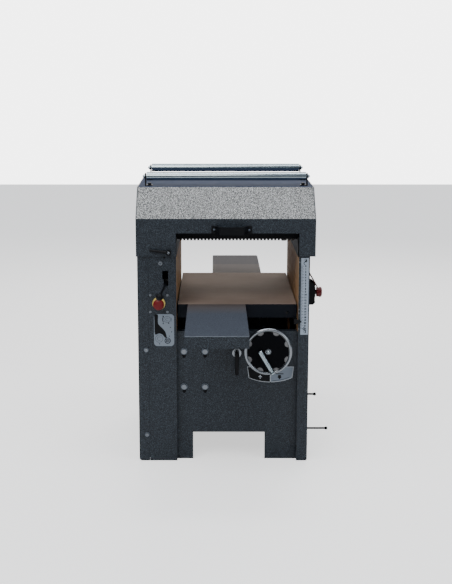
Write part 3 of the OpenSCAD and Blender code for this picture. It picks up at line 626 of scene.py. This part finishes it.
def small_screws():
    """Screws and pins that the CAD frame leaves out: column edge, handle feet, latch, table edge, hub."""
    edge = Form()
    for z in (715, 549, 536, 480):
        socket_screw(edge, (213.5, FRONT, z), (0, -1, 0), 2.6, 1.6)
    edge.finish("column_screws", "base", "bright_steel")
    hood = Form()
    for x in (-80.5, 39.5):
        socket_screw(hood, (x, hood_lo.y - 3.2, 828), (0, -1, 0), 3.8, 3)
    hood.finish("handle_screws", "hood", "black_steel", WASHER_ZINC)
    Form().lathe((-251, FRONT + 0.5, 733), (0, -1, 0), [(0, 4), (6, 4), (7, 3), (7, 0)], 20).finish(
        "latch_stop_pin", "base", "black_steel")
    wheel_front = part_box("wheel_shaft")[0].y / MM
    hub = (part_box("wheel_rim")[0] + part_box("wheel_rim")[1]) / 2 / MM
    Form().lathe((hub.x, wheel_front + 0.3, hub.z), (0, -1, 0),
                 [(0, 7.5)] + [(6.5 * math.sin(a / 10 * 1.571), 6.8 * math.cos(a / 10 * 1.571)) for a in range(10)]
                 + [(6.5, 0)], 32).finish("hub_cap_nut", "handwheel", "chrome")
    pivot = Form()
    latch_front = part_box("hood_latch")[0].y / MM
    socket_screw(pivot, (-236, latch_front + 0.3, 751), (0, -1, 0), 4.2, 2)
    pivot.finish("latch_screw", "latch", "bright_steel")
    Form().lathe((197, PANEL + 0.3, 35), (0, -1, 0), [(0, 14), (1.6, 14), (2.2, 12.5), (2.2, 0)], 36).finish(
        "panel_plug", "base", "dark_hammertone")
    table = Form()
    for x in (-173, 173):
        socket_screw(table, (x, table_lo.y, 532), (0, -1, 0), 4.5, 2)
    table.finish("table_edge_screws", "table_unit", "black_steel")


def corner_strips():
    """Painted strips that cover the side frames' front corners, in front of the recessed panel."""
    form = Form()
    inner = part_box("front_panel")[1].x / MM
    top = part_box("front_panel")[1].z / MM
    for side in (-1, 1):
        x = sorted((side * (inner - 0.6), side * inner))
        form.box((x[0], FRONT + 3.5, 4), (x[1], PANEL - 0.3, top))
    form.finish("corner_strips", "base", "dark_hammertone")


def extension_edges():
    """Painted highlight: a bright line along the bend at the outer end of each extension."""
    form = Form()
    for name, side in (("front_extension", -1), ("rear_extension", 1)):
        lo, hi = [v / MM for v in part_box(name)]
        y = (lo.y if side < 0 else hi.y) - side * 0.7
        form.tube([(lo.x + 2, y, hi.z - 0.7), (hi.x - 2, y, hi.z - 0.7)], 0.95, 10)
    form.finish("extension_edges", "table_unit", "extension_paint", PRINT["edge"])


control_label()
wheel_label()
scale_marks()
table_pointer()
small_screws()
corner_strips()
extension_edges()


# ---------- inner parts ----------
def coil_springs():
    """Coil springs over the feed rollers' bearing blocks, in the room of the frame's plain stacks."""
    lo, hi = [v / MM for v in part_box("feed_springs")]
    form = Form()
    wire, turns, steps = 1.6, 6, 24
    coil_radius, inset = 8.2, 10
    for x in (lo.x + inset, hi.x - inset):
        for y in (lo.y + inset, hi.y - inset):
            rise = hi.z - lo.z - 2 * wire
            path = [(x + coil_radius * math.cos(2 * math.pi * i / steps),
                     y + coil_radius * math.sin(2 * math.pi * i / steps),
                     lo.z + wire + rise * i / (turns * steps)) for i in range(turns * steps + 1)]
            form.tube(path, wire, 8)
    springs = form.finish("feed_spring_coils", "base", "bright_steel")
    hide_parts("feed_springs")


def screw_threads():
    """Trapezoid threads on the two lift screws, with their bolted flanges."""
    lo, hi = [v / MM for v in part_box("lift_screws")]
    lead, sides = 6.0, 36
    core_radius, thread_depth, flange = 13.0, 1.9, 8
    form = Form()
    for x in (-LIFT_SCREW_X, LIFT_SCREW_X):
        top = hi.z - flange
        steps = int(top - lo.z)
        rings = []
        for i in range(steps + 1):
            z = lo.z + (top - lo.z) * i / steps
            ring = []
            for k in range(sides):
                phase = (z / lead - k / sides) % 1.0
                depth = min(1.0, max(0.0, 2.5 - abs(phase - 0.5) * 7.0))
                r = core_radius + thread_depth * depth
                a = 2 * math.pi * k / sides
                ring.append(form.bm.verts.new((x + r * math.cos(a), r * math.sin(a), z)))
            rings.append(ring)
        for a, b in zip(rings, rings[1:]):
            form.skin(a, b)
        form.bm.faces.new(rings[0][::-1])
        form.bm.faces.new(rings[-1])
        form.lathe((x, 0, top), (0, 0, 1), [(0, 29), (1, 30), (7, 30), (8, 29)], 48)
        for k in range(4):
            a = math.radians(45 + 90 * k)
            hex_nut(form, (x + 23 * math.cos(a), 23 * math.sin(a), top), (0, 0, -1), 5, 4)
    screws = form.finish("lift_screw_threads", "table_unit", "bright_steel")
    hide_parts("lift_screws")


def loop_points(wheels, pitch):
    """Points at about one pitch along a chain around wheels listed anticlockwise; a wheel is (x, y, r)."""
    track = []
    n = len(wheels)
    lines = []
    for i in range(n):
        ax, ay, ra = wheels[i]
        bx, by, rb = wheels[(i + 1) % n]
        angle = math.atan2(by - ay, bx - ax) - math.acos((ra - rb) / math.hypot(bx - ax, by - ay))
        lines.append((angle, (ax + ra * math.cos(angle), ay + ra * math.sin(angle)),
                      (bx + rb * math.cos(angle), by + rb * math.sin(angle))))
    for i in range(n):
        angle, a, b = lines[i]
        length = math.dist(a, b)
        steps = max(1, round(length / 2))
        track += [(a[0] + (b[0] - a[0]) * k / steps, a[1] + (b[1] - a[1]) * k / steps) for k in range(steps)]
        x, y, r = wheels[(i + 1) % n]
        turn = (lines[(i + 1) % n][0] - angle) % (2 * math.pi)
        steps = max(1, round(r * turn / 2))
        track += [(x + r * math.cos(angle + turn * k / steps), y + r * math.sin(angle + turn * k / steps))
                  for k in range(steps)]
    total = sum(math.dist(track[i], track[(i + 1) % len(track)]) for i in range(len(track)))
    count = 2 * round(total / pitch / 2)
    points, walked, want = [], 0.0, 0.0
    for i in range(len(track)):
        a, b = track[i], track[(i + 1) % len(track)]
        d = math.dist(a, b)
        while want <= walked + d and len(points) < count:
            t = (want - walked) / d
            points.append((a[0] + (b[0] - a[0]) * t, a[1] + (b[1] - a[1]) * t))
            want += total / count
        walked += d
    return points


def roller_chain(form, wheels, place, width):
    """Rollers with inner and outer side plates; place maps (along, across, width) to the machine's frame."""
    pitch = 9.525
    points = loop_points(wheels, pitch)
    n = len(points)
    for i, (x, y) in enumerate(points):
        form.lathe(place(x, y, 0.4), Vector(place(x, y, width)) - Vector(place(x, y, 0)),
                   [(0, 1.4), (0.6, 1.4), (0.6, 2.6), (width - 1.4, 2.6), (width - 1.4, 1.4), (width - 0.8, 1.4)], 10)
        x2, y2 = points[(i + 1) % n]
        mx, my = (x + x2) / 2, (y + y2) / 2
        ux, uy = x2 - x, y2 - y
        span = math.hypot(ux, uy)
        ux, uy = ux / span, uy / span
        level = 0.0 if i % 2 else 0.8
        for w in (level, width - level - 0.7):
            outline = []
            for along, across in ((-1, -0.6), (-0.6, -1), (-0.25, -0.8), (0.25, -0.8), (0.6, -1), (1, -0.6),
                                  (1, 0.6), (0.6, 1), (0.25, 0.8), (-0.25, 0.8), (-0.6, 1), (-1, 0.6)):
                a, c = along * (span / 2 + 2.6), across * 2.8
                outline.append((mx + ux * a - uy * c, my + uy * a + ux * c))
            low = [form.bm.verts.new(place(px, py, w)) for px, py in outline]
            high = [form.bm.verts.new(place(px, py, w + 0.7)) for px, py in outline]
            form.bm.faces.new(low[::-1])
            form.bm.faces.new(high)
            form.skin(low, high)


def chains():
    """The feed chain in the right column and the lift chain between the nuts."""
    feed_radius, lift_radius, width, lift_chain_z = 27.0, 41, 6.0, 377
    feed_chain_x = (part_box("chains")[1] / MM).x - 6

    def sprocket(name):
        """The sprocket on a turning part, as (y, z, radius)."""
        lo, hi = [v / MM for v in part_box(name)]
        return ((lo.y + hi.y) / 2, (lo.z + hi.z) / 2, feed_radius)

    form = Form()
    roller_chain(form, [sprocket(name) for name in ("feed_sprocket", "outfeed_roller", "infeed_roller")],
                 lambda y, z, w: (feed_chain_x + w, y, z), width)
    roller_chain(form, [(-LIFT_SCREW_X, 0, lift_radius), (LIFT_SCREW_X, 0, lift_radius)],
                 lambda x, y, w: (x, y, lift_chain_z + w), width)
    chain = form.finish("roller_chains", "base", "oiled_steel")
    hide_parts("chains")


coil_springs()
screw_threads()
chains()


# ---------- sides and back ----------
def louvre(form, face_x, side, y0, y1, z):
    """One pressed louvre on a side face; side is -1 on the left and 1 on the right."""
    place = placed((face_x, y0, 0), (side, 0, 0), (0, 0, 1), (0, 1, 0))
    form.prism([(-0.5, z), (3.2, z + 1), (3.6, z + 2.4), (-0.5, z + 10)], place, y1 - y0)


def side_details():
    """Louvres, locks and screws on the left cover; screws and a cover plate on the right column."""
    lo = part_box("side_cover")[0] / MM
    form = Form()
    for i in range(8):
        for y in (-170, 60):
            louvre(form, lo.x, -1, y, y + 110, 470 + 18 * i)
    form.finish("side_louvres", "base", "dark_hammertone", bevel=0.5)
    locks = Form()
    for y in (-280, 280):
        for z in (60, 380, 700):
            locks.lathe((lo.x + 0.2, y, z), (-1, 0, 0),
                        [(0, 10), (1.0, 10), (1.5, 9), (1.5, 7), (0.9, 6), (0.9, 0)], 28)
            locks.box((lo.x - 1.3, y - 1, z - 5), (lo.x - 0.6, y + 1, z + 5))
    locks.finish("side_cover_locks", "base", "black_plastic")
    plate = Form()
    plate.prism(rounded(-250, 300, 150, 480, 10), side_plane(column_hi.x), 2.0)
    plate.finish("gear_access_cover", "base", "dark_hammertone", bevel=0.5)
    screws = Form()
    for y in (-238, 138):
        for z in (312, 468):
            socket_screw(screws, (column_hi.x + 2, y, z), (1, 0, 0), 4.5, 2.6)
    for y in (-112, -56):
        for z in (532, 596):
            socket_screw(screws, (column_hi.x + 37, y, z), (1, 0, 0), 2.8, 1.6)
    for z, y in ((71, -170), (201, -170)):
        screws.lathe((column_hi.x, y, z), (1, 0, 0), [(0, 9), (3, 9), (4, 8), (4, 3.7)], 28)
    screws.finish("right_screws", "base", "bright_steel")


def back_details():
    """Rear panel: bolted cover, blank rating plate and the inlet's lock nut; hinge screws."""
    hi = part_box("rear_panel")[1] / MM
    back = placed((0, hi.y, 0), (-1, 0, 0), (0, 0, 1), (0, 1, 0))
    form = Form()
    form.prism(rounded(-150, 150, 90, 400, 12), back, 2.0)
    form.finish("rear_cover", "base", "dark_hammertone", bevel=0.5)
    plate = Form()
    plate.prism(rounded(-40, 420, 40, 455, 4), back, 0.8)
    plate.finish("blank_rating_plate", "base", "scale_aluminium", bevel=0.2)
    screws = Form()
    for x in (-78, 138):
        for z in (162, 388):
            socket_screw(screws, (x, hi.y + 2, z), (0, 1, 0), 5, 3)
    for x in (-300, -255, 190, 235):
        for z in (700, 718):
            socket_screw(screws, (x + 7.5, column_hi.y + 4, z), (0, 1, 0), 3.5, 2)
    hex_nut(screws, (-150, hi.y + 6, 250), (0, 1, 0), 16, 7)
    screws.finish("rear_screws", "base", "bright_steel")


side_details()
back_details()


# ---------- stage, light, camera ----------
def build_stage():
    half, thick = 9000, 12
    floor = Form().box((-half, -half, -thick), (half, half, 0))
    bmesh.ops.scale(floor.bm, vec=(MM, MM, MM), verts=floor.bm.verts)
    mesh = bpy.data.meshes.new("floor")
    floor.bm.to_mesh(mesh)
    floor.bm.free()
    obj = bpy.data.objects.new("floor", mesh)
    bpy.context.scene.collection.objects.link(obj)
    s = Shade("pale_floor", 0.7)
    s.colour(s.mixed(s.noise(2.0), (0.86, 0.86, 0.86, 1), (0.84, 0.84, 0.845, 1)))
    s.shader.inputs["Emission Color"].default_value = (1, 1, 1, 1)
    s.link(s.add("ShaderNodeLightPath").outputs["Is Camera Ray"], s.shader.inputs["Emission Strength"])
    mesh.materials.append(s.mat)


def area_light(name, at, target, size, power, colour=(1, 1, 1)):
    light = bpy.data.lights.new(name, "AREA")
    light.shape = "RECTANGLE"
    light.size, light.size_y = size
    light.energy = power
    light.color = colour
    obj = bpy.data.objects.new(name, light)
    bpy.context.scene.collection.objects.link(obj)
    obj.location = at
    obj.rotation_euler = (Vector(target) - Vector(at)).to_track_quat("-Z", "Y").to_euler()


def build_world():
    """Dim room that grows brighter overhead; the camera itself sees plain white."""
    world = bpy.data.worlds.new("studio")
    bpy.context.scene.world = world
    world.use_nodes = True
    nodes, links = world.node_tree.nodes, world.node_tree.links
    coords = nodes.new("ShaderNodeTexCoord")
    split = nodes.new("ShaderNodeSeparateXYZ")
    links.new(coords.outputs["Generated"], split.inputs["Vector"])
    ramp = nodes.new("ShaderNodeValToRGB")
    tones = ((0.05, (0.13, 0.14, 0.15, 1)), (0.75, (0.85, 0.9, 1.0, 1)))
    for element, (place, tone) in zip(ramp.color_ramp.elements, tones):
        element.position = place
        element.color = tone
    links.new(split.outputs["Z"], ramp.inputs["Fac"])
    room = nodes["Background"]
    room.inputs["Strength"].default_value = 0.5
    links.new(ramp.outputs["Color"], room.inputs["Color"])
    white = nodes.new("ShaderNodeBackground")
    white.inputs["Color"].default_value = (1, 1, 1, 1)
    white.inputs["Strength"].default_value = 5.0
    path = nodes.new("ShaderNodeLightPath")
    both = nodes.new("ShaderNodeMixShader")
    links.new(path.outputs["Is Camera Ray"], both.inputs[0])
    links.new(room.outputs[0], both.inputs[1])
    links.new(white.outputs[0], both.inputs[2])
    links.new(both.outputs[0], nodes["World Output"].inputs["Surface"])


def build_light():
    build_world()
    area_light("key", (-1.5, -3.0, 3.4), (0, 0, 0.6), (3.4, 2.0), 105, (1.0, 0.98, 0.95))
    area_light("fill", (2.8, -2.8, 1.8), (0, 0, 0.5), (1.6, 1.6), 28, (0.92, 0.96, 1.0))
    area_light("overhead", (0.0, -0.4, 3.6), (0, 0, 0.6), (3.0, 0.8), 50, (0.95, 0.98, 1.0))
    area_light("back", (0.5, 3.2, 2.8), (0, 0, 0.7), (3.0, 1.4), 80, (1.0, 0.95, 0.88))


def build_camera():
    """Camera in front of the machine, a little above it and looking slightly down."""
    place, tilt = (-0.079, -4.150, 1.3865), 11.446
    camera = bpy.data.cameras.new("camera")
    camera.lens = 69.84
    camera.sensor_width = 36.0
    camera.shift_x = 11.5 / 584
    camera.clip_end = 60
    obj = bpy.data.objects.new("camera", camera)
    bpy.context.scene.collection.objects.link(obj)
    obj.location = place
    obj.rotation_euler = (math.radians(90 - tilt), 0, 0)
    bpy.context.scene.camera = obj


build_stage()
build_light()
build_camera()

bpy.context.view_layer.update()
